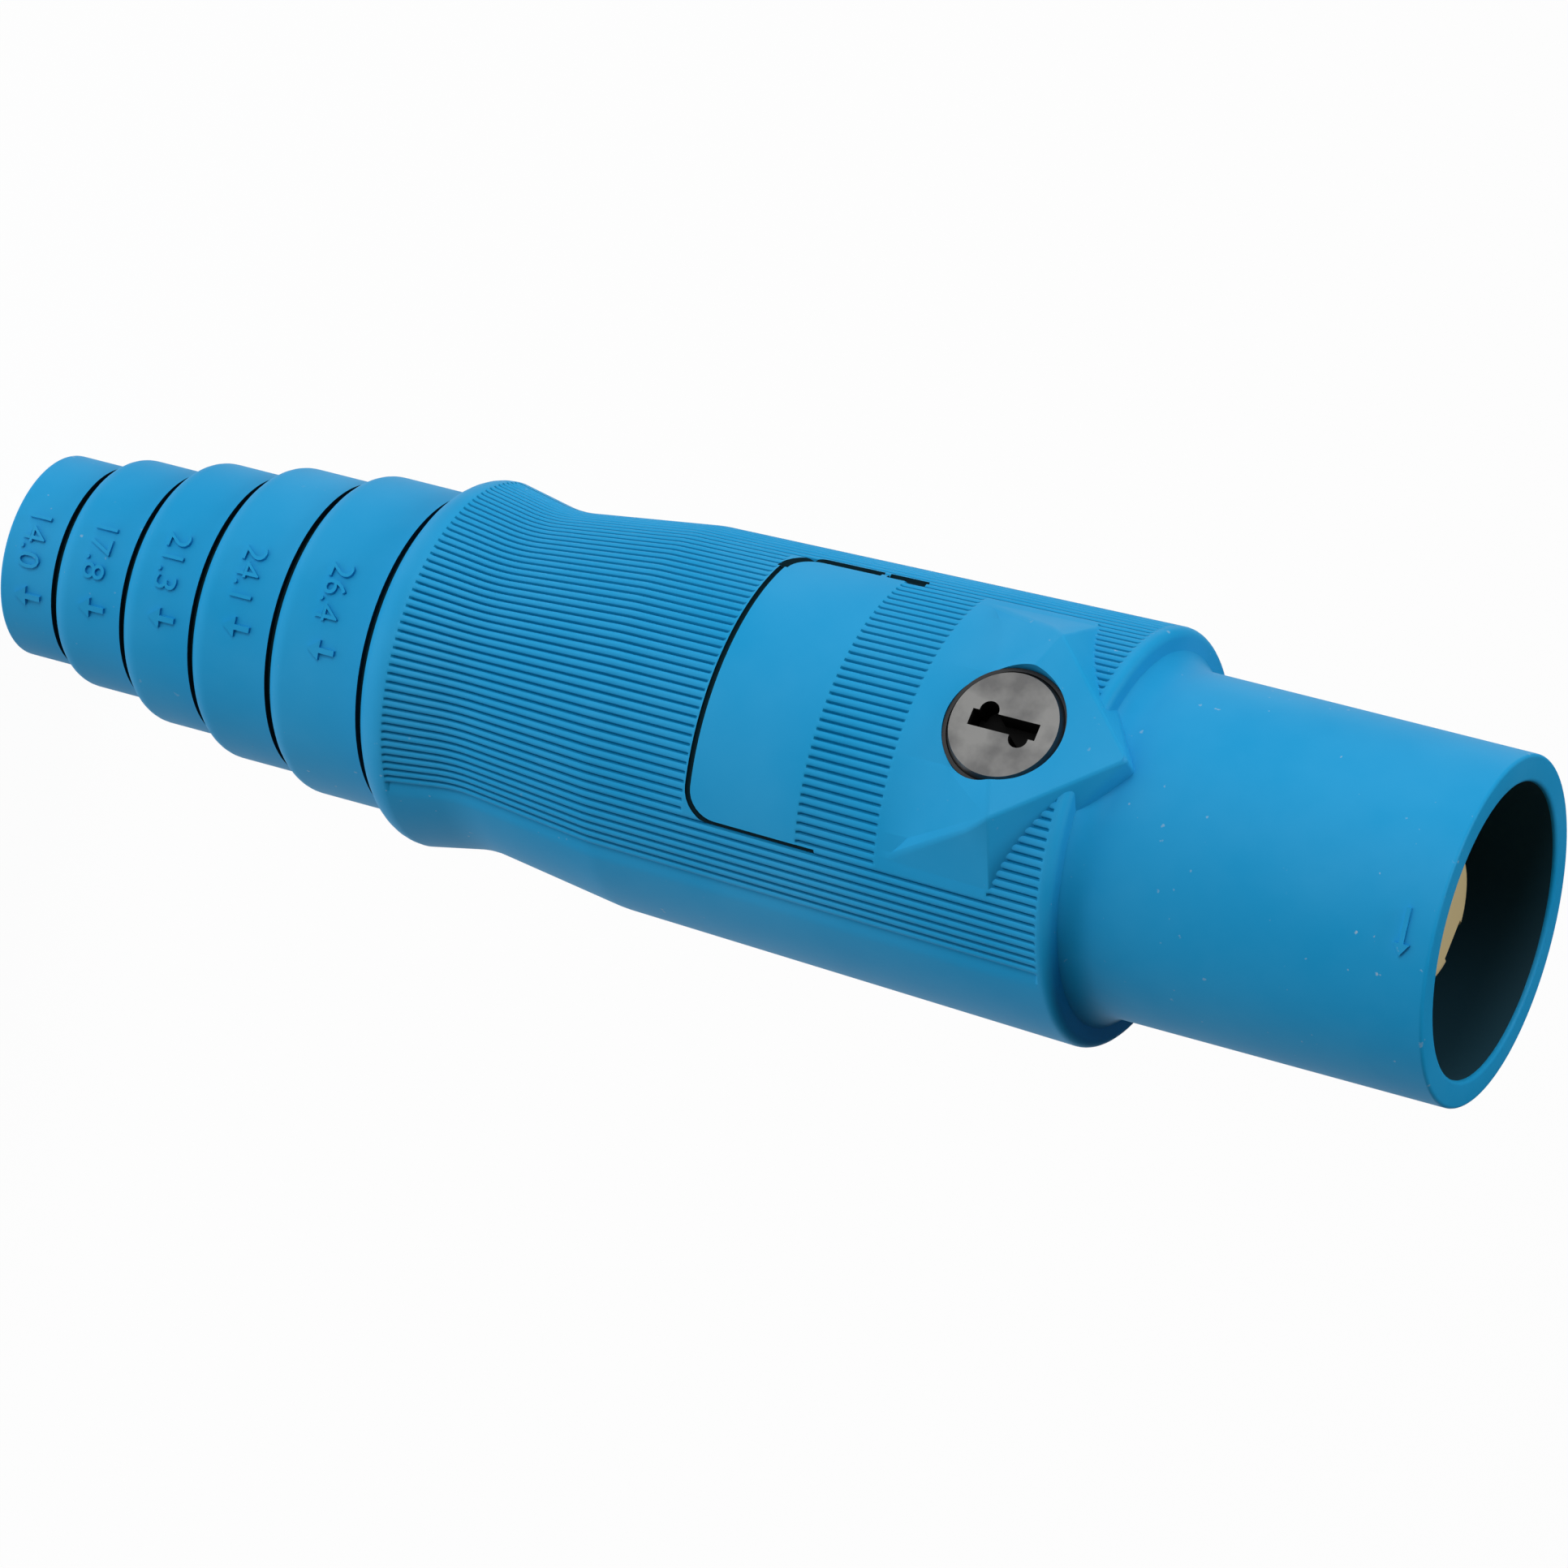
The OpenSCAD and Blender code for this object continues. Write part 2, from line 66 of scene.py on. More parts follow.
def setCamera():
    data = bpy.data.cameras.new("photoCamera")
    data.sensor_width = camera["sensor"]
    data.lens = camera["focalPixels"] / camera["imagePixels"] * camera["sensor"]
    data.clip_start = 0.01
    data.clip_end = 50
    eye = bpy.data.objects.new("photoCamera", data)
    bpy.context.scene.collection.objects.link(eye)
    right = Vector(camera["right"]).normalized()
    up = Vector(camera["up"])
    up = (up - right * up.dot(right)).normalized()
    back = right.cross(up)
    turn = Matrix((right, up, back)).transposed()
    eye.matrix_world = Matrix.Translation(camera["place"]) @ turn.to_4x4()
    bpy.context.scene.camera = eye


studio = {
    "floorSize": 6.0,
    "floorWhite": 0.9,
    "floorGlow": 0.97,  # share of even white in what the camera sees of the floor
    "floorBounce": 0.72,  # share of even white in the light that the floor gives back
    "floorRoughness": 0.9,
    "floorSpecular": 0.1,
    "floorGap": 0.02,  # millimetres that keep the floor just under the plug
    "ambient": 0.07,
    "aim": (0, 0, 0.09),
}

lamps = {
    # place, size across and power
    "keyLamp": ((-0.20, -1.50, 0.0), 0.9, 16.5),
    "topLamp": ((-1.2, -0.7, 0.1), 0.7, 2.5),
    "mouthLamp": ((-0.5, -0.2, 1.35), 0.5, 9.0),
}


def areaLamp(name, place, size, power):
    data = bpy.data.lights.new(name, "AREA")
    data.shape = "DISK"
    data.size = size
    data.energy = power
    lamp = bpy.data.objects.new(name, data)
    bpy.context.scene.collection.objects.link(lamp)
    lamp.location = place
    lamp.rotation_mode = "QUATERNION"
    lamp.rotation_quaternion = (Vector(studio["aim"]) - Vector(place)).to_track_quat("-Z", "Y")


def byCameraRay(nodes, links, other, seen):
    # One value for what the camera sees itself, another for light on the plug
    path = nodes.new("ShaderNodeLightPath")
    level = nodes.new("ShaderNodeMapRange")
    level.inputs["To Min"].default_value = other
    level.inputs["To Max"].default_value = seen
    links.new(path.outputs["Is Camera Ray"], level.inputs["Value"])
    return level.outputs[0]


def floorMaterial():
    made = bpy.data.materials.new("paleFloor")
    made.use_nodes = True
    nodes, links = made.node_tree.nodes, made.node_tree.links
    shader = nodes["Principled BSDF"]
    shader.inputs["Base Color"].default_value = (studio["floorWhite"],) * 3 + (1,)
    shader.inputs["Roughness"].default_value = studio["floorRoughness"]
    shader.inputs["Specular IOR Level"].default_value = studio["floorSpecular"]
    glow = nodes.new("ShaderNodeEmission")
    glow.inputs["Strength"].default_value = 1
    mix = nodes.new("ShaderNodeMixShader")
    links.new(byCameraRay(nodes, links, studio["floorBounce"], studio["floorGlow"]), mix.inputs[0])
    links.new(shader.outputs[0], mix.inputs[1])
    links.new(glow.outputs[0], mix.inputs[2])
    links.new(mix.outputs[0], nodes["Material Output"].inputs["Surface"])
    return made


def setStudio():
    half = studio["floorSize"] / 2
    corners = [(-half, -half, 0), (half, -half, 0), (half, half, 0), (-half, half, 0)]
    data = bpy.data.meshes.new("floor")
    data.from_pydata(corners, [], [(0, 1, 2, 3)])
    data.materials.append(floorMaterial())
    floor = bpy.data.objects.new("floor", data)
    bpy.context.scene.collection.objects.link(floor)
    floor.location.z = cadBox[0].z - studio["floorGap"] * mm
    for name, (place, size, power) in lamps.items():
        areaLamp(name, place, size, power)
    world = bpy.data.worlds.new("studioWhite")
    world.use_nodes = True
    nodes, links = world.node_tree.nodes, world.node_tree.links
    nodes["Background"].inputs["Color"].default_value = (1, 1, 1, 1)
    links.new(byCameraRay(nodes, links, studio["ambient"], 1), nodes["Background"].inputs["Strength"])
    bpy.context.scene.world = world
    bpy.context.scene.view_settings.view_transform = "Standard"


finishes = {
    # colour, roughness, metallic share and specular level
    "blueElastomer": ((0.026, 0.36, 0.70), 0.5, 0.0, 0.1),
    # Painted shade for the walls of the grooves between ribs
    "ribPaintedShade": ((0.002, 0.20, 0.42), 0.6, 0.0, 0.1),
    # Painted shade for the inside of the mouth and the bore behind it
    "mouthPaintedShade": ((0.011, 0.055, 0.085), 0.7, 0.0, 0.2),
    # Painted shade for the cutting grooves and the panel's outline groove
    "groovePaintedShade": ((0.002, 0.02, 0.03), 0.8, 0.0, 0.1),
    "lockSteel": ((0.24, 0.24, 0.235), 0.36, 0.9, 0.5),
    # Painted shade for the walls and floor of the key slot
    "slotPaintedShade": ((0.004, 0.004, 0.004), 0.7, 0.0, 0.1),
    "pinBrass": ((0.95, 0.76, 0.40), 0.38, 0.3, 0.5),
    "screwBlack": ((0.05, 0.05, 0.055), 0.4, 0.8, 0.5),
    "springSteel": ((0.6, 0.6, 0.6), 0.3, 1.0, 0.5),
    "bushingBlack": ((0.012, 0.013, 0.015), 0.6, 0.0, 0.5),
    "sealBlack": ((0.02, 0.02, 0.02), 0.65, 0.0, 0.5),
}

clouds = {
    # second colour, noise scale and the two noise levels between which the colours blend
    "blueElastomer": ((0.008, 0.325, 0.66), 55, 0.35, 0.7),
    "lockSteel": ((0.14, 0.14, 0.14), 190, 0.4, 0.6),
}

grains = {
    # noise scale, depth in millimetres and stretch along the three axes
    "blueElastomer": (900, 0.03, (1, 1, 1)),
    "lockSteel": (700, 0.03, (1, 1, 1)),
    "pinBrass": (400, 0.01, (1, 1, 6)),
    "bushingBlack": (900, 0.02, (1, 1, 1)),
}


def newFinish(name):
    colour, roughness, metallic, specular = finishes[name]
    made = bpy.data.materials.new(name)
    made.use_nodes = True
    shader = made.node_tree.nodes["Principled BSDF"]
    shader.inputs["Base Color"].default_value = colour + (1,)
    shader.inputs["Roughness"].default_value = roughness
    shader.inputs["Metallic"].default_value = metallic
    shader.inputs["Specular IOR Level"].default_value = specular
    return made


def addGrain(made, scale, depth, stretch):
    # A fine bump in the plug's own coordinates
    nodes, links = made.node_tree.nodes, made.node_tree.links
    place = nodes.new("ShaderNodeTexCoord")
    spread = nodes.new("ShaderNodeMapping")
    spread.inputs["Scale"].default_value = stretch
    noise = nodes.new("ShaderNodeTexNoise")
    noise.inputs["Scale"].default_value = scale
    noise.inputs["Detail"].default_value = 3
    bump = nodes.new("ShaderNodeBump")
    bump.inputs["Strength"].default_value = 0.4
    bump.inputs["Distance"].default_value = depth * mm
    links.new(place.outputs["Object"], spread.inputs[0])
    links.new(spread.outputs[0], noise.inputs["Vector"])
    links.new(noise.outputs["Fac"], bump.inputs["Height"])
    links.new(bump.outputs[0], nodes["Principled BSDF"].inputs["Normal"])


def addClouds(made, otherColour, scale, low, high):
    # Slow change between two close colours
    nodes, links = made.node_tree.nodes, made.node_tree.links
    baseColour = nodes["Principled BSDF"].inputs["Base Color"]
    place = nodes.new("ShaderNodeTexCoord")
    noise = nodes.new("ShaderNodeTexNoise")
    noise.inputs["Scale"].default_value = scale
    noise.inputs["Detail"].default_value = 4
    ramp = nodes.new("ShaderNodeValToRGB")
    ramp.color_ramp.elements[0].position = low
    ramp.color_ramp.elements[0].color = otherColour + (1,)
    ramp.color_ramp.elements[1].position = high
    ramp.color_ramp.elements[1].color = baseColour.default_value
    links.new(place.outputs["Object"], noise.inputs["Vector"])
    links.new(noise.outputs["Fac"], ramp.inputs[0])
    links.new(ramp.outputs[0], baseColour)


dust = {
    "colour": (0.30, 0.50, 0.68),
    "speckScale": 900,
    "specksAbove": 0.725,  # noise level where a speck begins
    "speckBlend": 0.04,
    "patchScale": 14,
    "patchesAbove": 0.46,  # noise level where a dusty patch begins
    "patchBlend": 0.15,
}


def noiseAbove(nodes, links, scale, start, blend):
    # Nothing below a noise level, everything above it
    place = nodes.new("ShaderNodeTexCoord")
    noise = nodes.new("ShaderNodeTexNoise")
    noise.inputs["Scale"].default_value = scale
    noise.inputs["Detail"].default_value = 2
    level = nodes.new("ShaderNodeMapRange")
    level.inputs["From Min"].default_value = start
    level.inputs["From Max"].default_value = start + blend
    links.new(place.outputs["Object"], noise.inputs["Vector"])
    links.new(noise.outputs["Fac"], level.inputs["Value"])
    return level.outputs[0]


def addDust(made):
    # Fine light specks, gathered in patches
    nodes, links = made.node_tree.nodes, made.node_tree.links
    specks = noiseAbove(nodes, links, dust["speckScale"], dust["specksAbove"], dust["speckBlend"])
    patches = noiseAbove(nodes, links, dust["patchScale"], dust["patchesAbove"], dust["patchBlend"])
    both = nodes.new("ShaderNodeMath")
    both.operation = "MULTIPLY"
    links.new(specks, both.inputs[0])
    links.new(patches, both.inputs[1])
    baseColour = nodes["Principled BSDF"].inputs["Base Color"]
    mix = nodes.new("ShaderNodeMix")
    mix.data_type = "RGBA"
    clean, dusty, mixed = mix.inputs[6], mix.inputs[7], mix.outputs[2]  # the colour sockets
    links.new(both.outputs[0], mix.inputs["Factor"])
    links.new(baseColour.links[0].from_socket, clean)
    dusty.default_value = dust["colour"] + (1,)
    links.new(mixed, baseColour)


def makeFinishes():
    made = {name: newFinish(name) for name in finishes}
    for name, (otherColour, scale, low, high) in clouds.items():
        addClouds(made[name], otherColour, scale, low, high)
    addDust(made["blueElastomer"])
    for name, (scale, depth, stretch) in grains.items():
        addGrain(made[name], scale, depth, stretch)
    return made


sleeve = {
    "length": 177.5,
    "barrelR": 19.0,
    "barrelLength": 40.6,
    "mouthR": 16.0,
    "mouthDepth": 40.0,
    "mouthRound": 0.4,
    "mouthInnerRound": 0.5,
    "rootFillet": 3.8,
    "rootWidth": 1.6,
    "frontR": 23.0,
    "frontRound": 1.1,
    "bodyLength": 55.9,
    "rearR": 21.55,
    "waistR": 19.15,
    "waistLength": 17.7,
    "waistBlend": 14.0,
    "collarR": 20.75,
    "collarRound": 4.0,
    "stepLengths": (7.7, 10.0, 10.1, 11.0, 12.5),
    "stepRs": (11.6, 13.15, 15.0, 16.7, 18.15),
    "stepBores": (7.0, 8.9, 10.65, 12.05, 13.2),
    "stepLip": 1.5,
    "stepRound": 2.6,
    "tailRound": 0.5,
    "cutWidth": 0.75,
    "cutDepth": 0.8,
    "contactBoreR": 11.6,
    "contactFoot": 81.5,
    "webSet": 2.0,
    "arcSteps": 7,
    "blendSteps": 10,  # steps round the waist
    "smoothDeg": 32,  # edges flatter than this are shaded smooth
}

# The last three finishes are painted shade: in the cutting grooves, inside the mouth and on the ribs'
# groove walls
sleeveFinishes = ("blueElastomer", "groovePaintedShade", "mouthPaintedShade", "ribPaintedShade")
tags = {name: i for i, name in enumerate(sleeveFinishes)}

ribs = {
    "pitchDeg": 2.65,
    "halfSpanDeg": 66.25,
    "stripDeg": 46.375,
    "depth": 0.42,
    "rampLength": 0.3,
    "samples": 6,
    "landSamples": 16,
    "land": 0.3,  # smooth land between the grooves and the edges near them
    "crestPower": 0.6,  # below 1 the crests are broad and the grooves narrow
    "panelRear": 84.5,  # distances behind the mouth
    "stripFront": 61.25,
    "stripRear": 70.7,
    "frontZone": 47.9,
    "shadeBelow": 0.6,  # a groove's walls get painted shade up to this share of the crest
}

lockPad = {
    "fromMouth": 50.4,
    "tipFromMouth": 36.4,
    "tipH": 22.1,
    "ridgeFromMouth": 47.6,
    "ridgeH": 24.2,
    "ridgeHalf": 10.9,
    "topBehind": 1.6,
    "topHalf": 6.3,
    "flankTop": (12.2, 22.5, 2.4),  # side, height and distance behind the ridge
    "flankDeg": 45,
    "rearDegs": (15, 29, 44),
    "rearLengths": (7.3, 8.4, 13.2),
    "coreH": 14.25,
    "footSink": 0.15,
    "edgeRound": 0.35,
    "roundSteps": 3,
    "roundAboveDeg": 12,
    "boreR": 6.9,
    "ribR": 8.0,
    "ribFootH": 14.05,
    "ribTopH": 16.15,
    "boreTopH": 27.0,
    "boreFootH": 10.5,
}

panel = {
    "fromMouth": 68.4,
    "length": 15.6,
    "halfDeg": 47,
    "corner": 3.5,
    "grooveR": 0.34,
    "upperR": 0.66,  # the upper line is wider
    "sink": 0.05,
    "breakAt": 4.6,
    "breakLength": 0.7,
    "steps": 8,  # points along a side and round a corner
    "rearSteps": 40,
}


def arcPoints(centre, radius, start, end, steps):
    turns = [math.radians(start + (end - start) * i / steps) for i in range(steps + 1)]
    return [(centre[0] + radius * math.cos(a), centre[1] + radius * math.sin(a)) for a in turns]


def blendPoints(a, b, c, radius, steps):
    # Arc that rounds corner b between a and c
    a, b, c = Vector(a), Vector(b), Vector(c)
    u, v = (a - b).normalized(), (c - b).normalized()
    half = math.acos(max(-1, min(1, u.dot(v)))) / 2
    centre = b + (u + v).normalized() * (radius / math.sin(half))
    p = b + u * (radius / math.tan(half)) - centre
    q = b + v * (radius / math.tan(half)) - centre
    start = math.degrees(math.atan2(p.y, p.x))
    turn = (math.degrees(math.atan2(q.y, q.x)) - start + 540) % 360 - 180
    return arcPoints(centre, radius, start, start + turn, steps)


def heights():
    frontZ = sleeve["length"] - sleeve["barrelLength"]
    steps = [0.0]
    for length in sleeve["stepLengths"]:
        steps.append(steps[-1] + length)
    bend = sleeve["collarRound"]
    collarRise = math.sqrt(bend**2 - (bend - sleeve["collarR"] + sleeve["stepRs"][4]) ** 2)
    return {
        "front": frontZ,
        "shoulder": frontZ - sleeve["bodyLength"],
        "waist": frontZ - sleeve["bodyLength"] - sleeve["waistLength"],
        "steps": steps,
        "collarTop": steps[5] + collarRise,
        "cavity": sleeve["length"] - sleeve["mouthDepth"],
        "lock": sleeve["length"] - lockPad["fromMouth"],
    }


at = heights()


def shoulderPoints(r0, r1, z, radius, steps):
    # Round shoulder between two radii, upright where it ends
    start = math.acos(1 - (r1 - r0) / radius)
    centre = (r1 - radius, z + radius * math.sin(start))
    return arcPoints(centre, radius, -math.degrees(start), 0, steps)


def tailOutline():
    n = sleeve["arcSteps"]
    bend = sleeve["tailRound"]
    points = arcPoints((sleeve["stepRs"][0] - bend, bend), bend, -90, 0, n)
    for i in range(1, 6):
        r0 = sleeve["stepRs"][i - 1]
        z = at["steps"][i]
        points += [
            (r0, z - sleeve["cutWidth"]),
            (r0 - sleeve["cutDepth"], z - sleeve["cutWidth"]),
            (r0 - sleeve["cutDepth"], z),
        ]
        if i < 5:
            points += shoulderPoints(r0, sleeve["stepRs"][i], z, sleeve["stepRound"], n)
    return points


def bodyOutline():
    n = sleeve["arcSteps"]
    tailR, tailTop = sleeve["stepRs"][4], at["steps"][5]
    points = shoulderPoints(tailR, sleeve["collarR"], tailTop, sleeve["collarRound"], n)
    collarTop = points[-1]
    waist = (sleeve["waistR"], at["waist"])
    rear = (sleeve["rearR"], at["shoulder"])
    front = (sleeve["frontR"], at["front"] - sleeve["frontRound"])
    points += blendPoints(collarTop, waist, rear, sleeve["waistBlend"], sleeve["blendSteps"])
    points += blendPoints(waist, rear, front, sleeve["waistBlend"], n)
    points.append(front)
    return points


def barrelOutline():
    n = sleeve["arcSteps"]
    fillet, width = sleeve["rootFillet"], sleeve["rootWidth"]
    edge = sleeve["frontRound"]
    points = arcPoints((sleeve["frontR"] - edge, at["front"] - edge), edge, 0, 90, n)[1:]
    points.append((sleeve["barrelR"] + width, at["front"]))
    start = math.degrees(math.asin((fillet - width) / fillet))
    centre = (sleeve["barrelR"] + fillet, at["front"] + fillet * math.cos(math.radians(start)))
    points += arcPoints(centre, fillet, 270 - start, 180, n)[1:]
    rim = sleeve["mouthRound"]
    points += arcPoints((sleeve["barrelR"] - rim, sleeve["length"] - rim), rim, 0, 90, n)
    return points


def innerOutline():
    n = sleeve["arcSteps"]
    rim = sleeve["mouthInnerRound"]
    points = arcPoints((sleeve["mouthR"] + rim, sleeve["length"] - rim), rim, 90, 180, n)
    points += [
        (sleeve["mouthR"], at["cavity"]),
        (sleeve["contactBoreR"], at["cavity"]),
        (sleeve["contactBoreR"], sleeve["contactFoot"] - sleeve["webSet"]),
        (sleeve["stepBores"][4], sleeve["contactFoot"] - sleeve["webSet"]),
    ]
    for i in range(4, 0, -1):
        z = at["steps"][i] + sleeve["stepLip"]
        points += [(sleeve["stepBores"][i], z), (sleeve["stepBores"][i - 1], z)]
    points.append((sleeve["stepBores"][0], 0))
    return points


def radiusAt(outline, z):
    for (r0, z0), (r1, z1) in zip(outline, outline[1:]):
        if z0 <= z <= z1:
            return r0 + (r1 - r0) * (z - z0) / max(z1 - z0, 1e-9)
    return outline[-1][0]


def ribColumns():
    # Angles all round, each with its share of the way over a rib and whether ribs run there
    pitch, half, samples = ribs["pitchDeg"], ribs["halfSpanDeg"], ribs["samples"]
    count = round(2 * half / pitch)
    land = 180 - 2 * half
    columns = []
    for side in (0, 180):
        for i in range(count * samples):
            columns.append((side - half + pitch * i / samples, i % samples / samples, True))
        for i in range(ribs["landSamples"]):
            columns.append((side + half + land * i / ribs["landSamples"], 0.0, False))
    return columns


def ribZones(angle):
    # Stretches with ribs at this angle, as heights above the cable end
    rear = at["collarTop"] + ribs["land"]
    front = at["front"] - sleeve["frontRound"] - ribs["land"]
    side = (angle + 90) % 360 - 90
    if abs(side) >= ribs["stripDeg"]:
        return [(rear, front)]
    length = sleeve["length"]
    return [
        (rear, length - ribs["panelRear"]),
        (length - ribs["stripRear"], length - ribs["stripFront"]),
        (length - ribs["frontZone"], front),
    ]


def ribCrest(phase):
    return math.sin(math.pi * phase) ** ribs["crestPower"]


def ribSink(z, angle, phase):
    # Depth below the crest line
    rise = 0
    for low, high in ribZones(angle):
        inside = min(z - low, high - z) / ribs["rampLength"]
        rise = max(rise, min(1, max(0, inside)))
    return ribs["depth"] * (1 - ribCrest(phase)) * rise


def inGroove(column, z):
    # Whether the face beside this column is a groove's wall at this height
    angle, phase, ribbed = column
    crest = ribCrest(phase + 0.5 / ribs["samples"])
    return ribbed and crest < ribs["shadeBelow"] and any(low < z < high for low, high in ribZones(angle))


def spot(radius, angle, z):
    # Point at an angle from the lock's side, positive toward -X
    turn = math.radians(angle)
    return Vector((-radius * math.sin(turn), -radius * math.cos(turn), z)) * mm


def newPiece(name, bm):
    data = bpy.data.meshes.new(name)
    bm.to_mesh(data)
    bm.free()
    made = bpy.data.objects.new(name, data)
    bpy.context.scene.collection.objects.link(made)
    return made


def bodyHeights(body):
    # The outline's own heights and those where the ribs begin, deepen and end
    ends = {z for angle in (0, ribs["halfSpanDeg"]) for zone in ribZones(angle) for z in zone}
    ramp = ribs["rampLength"]
    extra = {z + step for z in ends for step in (-ramp, 0, ramp)}
    inside = {z for z in extra if body[0][1] < z < body[-1][1]}
    return sorted({round(z, 4) for _, z in body} | {round(z, 4) for z in inside})


def isCut(a, b):
    # Whether an outline's stretch is the wall or the floor of a cutting groove
    across, along = abs(a[0] - b[0]), abs(b[1] - a[1])
    floor = across < same and abs(along - sleeve["cutWidth"]) < same
    wall = along < same and abs(across - sleeve["cutDepth"]) < same
    return floor or wall


def buildSkin():
    columns = ribColumns()
    coarse = [i for i, (_, phase, ribbed) in enumerate(columns) if not ribbed or phase == 0]
    body = bodyOutline()
    bodyRows = bodyHeights(body)
    bm = bmesh.new()

    def fineRing(z):
        ring = []
        for angle, phase, ribbed in columns:
            sink = ribSink(z, angle, phase) if ribbed else 0
            ring.append(bm.verts.new(spot(radiusAt(body, z) - sink, angle, z)))
        return ring

    def coarseRing(point):
        return [bm.verts.new(spot(point[0], columns[i][0], point[1])) for i in coarse]

    def joinRings(a, b, tag):
        n = len(a)
        for i in range(n):
            face = bm.faces.new((a[i], a[(i + 1) % n], b[(i + 1) % n], b[i]))
            face.material_index = tag

    def stitch(fine, few, flip):
        # Faces from each point of a coarse ring to all of a fine ring's points beside it
        n = len(fine)
        for k, start in enumerate(coarse):
            end = coarse[(k + 1) % len(coarse)] or n
            edge = [fine[j % n] for j in range(start, end + 1)]
            loop = edge + [few[(k + 1) % len(coarse)], few[k]]
            bm.faces.new(loop if not flip else loop[::-1])

    # The cutting grooves' walls and floors get painted shade
    plain, dark = tags["blueElastomer"], tags["groovePaintedShade"]
    # The tail up to the collar's foot
    tail = tailOutline()
    rings = [coarseRing(p) for p in tail]
    for k, (a, b) in enumerate(zip(rings, rings[1:])):
        joinRings(a, b, dark if isCut(tail[k], tail[k + 1]) else plain)
    # The body with its ribs
    fine = [fineRing(z) for z in bodyRows]
    stitch(fine[0], rings[-1], True)
    for k, (a, b) in enumerate(zip(fine, fine[1:])):
        joinRings(a, b, plain)
        bm.faces.ensure_lookup_table()
        middle = (bodyRows[k] + bodyRows[k + 1]) / 2
        for column, face in zip(columns, bm.faces[-len(a) :]):
            # Groove walls between the ribs get painted shade
            if inGroove(column, middle):
                face.material_index = tags["ribPaintedShade"]
    # The barrel, then the inside back to the cable end
    front = [coarseRing(p) for p in barrelOutline()]
    stitch(fine[-1], front[0], False)
    for a, b in zip(front, front[1:]):
        joinRings(a, b, plain)
    inside = [coarseRing(p) for p in innerOutline()]
    joinRings(front[-1], inside[0], plain)
    # Past the mouth's rounded rim the inside is given painted shade
    for k, (a, b) in enumerate(zip(inside, inside[1:])):
        joinRings(a, b, plain if k < sleeve["arcSteps"] else tags["mouthPaintedShade"])
    joinRings(inside[-1], rings[0], plain)
    bmesh.ops.recalc_face_normals(bm, faces=bm.faces)
    return newPiece("sleeveSkin", bm)


def roundEdges(made, width, segments, aboveDeg):
    edges = made.modifiers.new("edges", "BEVEL")
    edges.width = width * mm
    edges.segments = segments
    edges.limit_method = "ANGLE"
    edges.angle_limit = math.radians(aboveDeg)
    settle(made)


def settle(made):
    # Applies the modifiers
    shown = made.evaluated_get(bpy.context.evaluated_depsgraph_get())
    data = bpy.data.meshes.new_from_object(shown)
    made.modifiers.clear()
    made.data = data


def buildPad():
    length = sleeve["length"]
    body = bodyOutline()
    ridgeZ = length - lockPad["ridgeFromMouth"]
    tipZ = length - lockPad["tipFromMouth"]
    turn = math.radians(lockPad["flankDeg"])
    run = lockPad["ridgeFromMouth"] - lockPad["tipFromMouth"]
    topH = lockPad["ridgeH"] + (lockPad["ridgeH"] - lockPad["tipH"]) * lockPad["topBehind"] / run
    footR = radiusAt(body, ridgeZ) - lockPad["footSink"]
    points = [(0, lockPad["tipH"], tipZ), (0, lockPad["coreH"], tipZ)]
    for side in (-1, 1):
        points.append((side * lockPad["ridgeHalf"], lockPad["ridgeH"], ridgeZ))
        points.append((side * lockPad["topHalf"], topH, ridgeZ - lockPad["topBehind"]))
        points.append((side * footR * math.sin(turn), footR * math.cos(turn), ridgeZ))
        x, h, behind = lockPad["flankTop"]
        points.append((side * x, h, ridgeZ - behind))
        for degrees, behind in zip(lockPad["rearDegs"], lockPad["rearLengths"]):
            angle = math.radians(degrees)
            radius = radiusAt(body, ridgeZ - behind) - lockPad["footSink"]
            points.append((side * radius * math.sin(angle), radius * math.cos(angle), ridgeZ - behind))
    points.append((0, lockPad["coreH"], ridgeZ - lockPad["rearLengths"][-1]))
    bm = bmesh.new()
    verts = [bm.verts.new(Vector((x, -h, z)) * mm) for x, h, z in points]
    bmesh.ops.convex_hull(bm, input=verts)
    bmesh.ops.dissolve_limit(bm, angle_limit=math.radians(1), verts=bm.verts, edges=bm.edges)
    made = newPiece("padSolid", bm)
    roundEdges(made, lockPad["edgeRound"], lockPad["roundSteps"], lockPad["roundAboveDeg"])
    return made


def discAlongLock(bm, radius, lowH, highH, segments=96):
    # Closed cylinder about the lock's axis
    centre = Vector((0, -(lowH + highH) / 2, at["lock"])) * mm
    turn = Matrix.Rotation(math.radians(90), 4, "X")
    bmesh.ops.create_cone(
        bm,
        cap_ends=True,
        segments=segments,
        radius1=radius * mm,
        radius2=radius * mm,
        depth=(highH - lowH) * mm,
        matrix=Matrix.Translation(centre) @ turn,
    )


def buildLockBore():
    bm = bmesh.new()
    discAlongLock(bm, lockPad["boreR"], lockPad["boreFootH"], lockPad["boreTopH"])
    bore = newPiece("lockBore", bm)
    bm = bmesh.new()
    discAlongLock(bm, lockPad["ribR"], lockPad["ribFootH"], lockPad["ribTopH"])
    return bore, newPiece("bushingSeat", bm)


